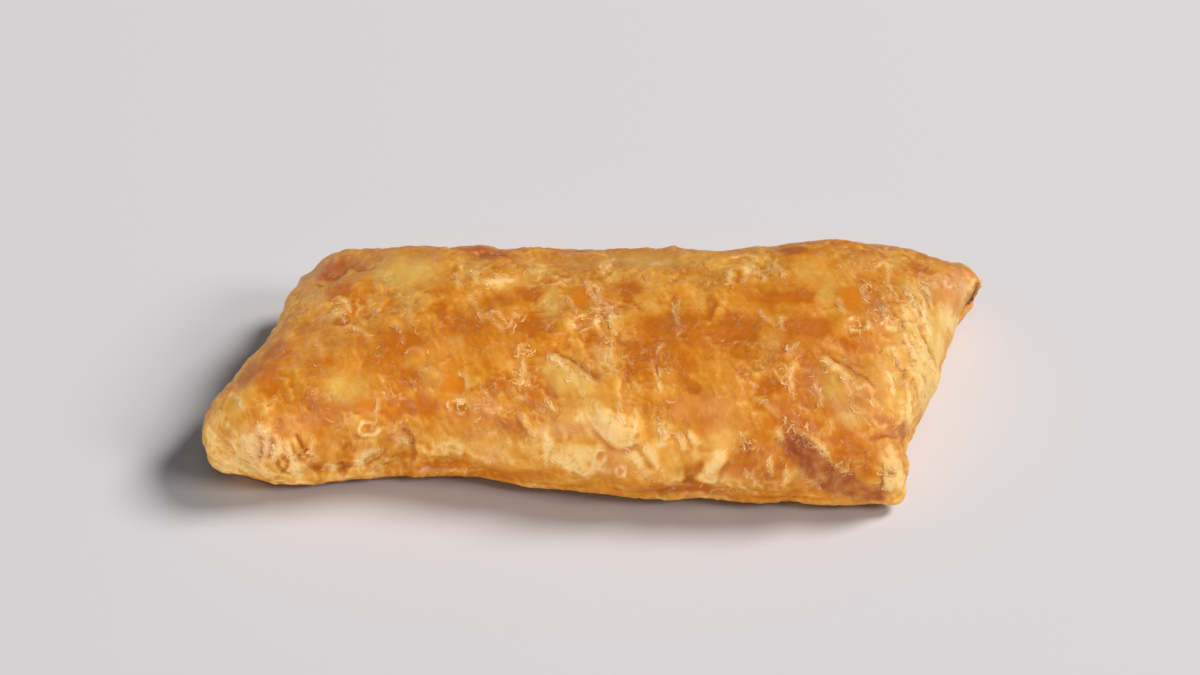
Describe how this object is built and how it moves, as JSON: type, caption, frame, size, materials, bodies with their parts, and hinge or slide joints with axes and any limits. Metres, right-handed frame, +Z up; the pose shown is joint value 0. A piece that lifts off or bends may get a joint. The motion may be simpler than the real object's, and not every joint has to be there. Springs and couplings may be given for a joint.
{
  "type": "cream bougatsa",
  "caption": "Skewed oblong parcel of golden flaky pastry, baked shut round a cream filling, lying on its flat base.",
  "frame": {"origin": "centre of the bounding box in plan, on the flat base", "axes": "+X along the parcel towards its pointed back right corner, -Y towards the front that shows, +Z up"},
  "size_m": [0.196, 0.0804, 0.0347],
  "materials": {
    "baked_crust": "golden brown flaky pastry with a soft buttery gloss"
  },
  "bodies": {
    "root": {"bougatsa": "baked_crust"}
  },
  "joints": []
}
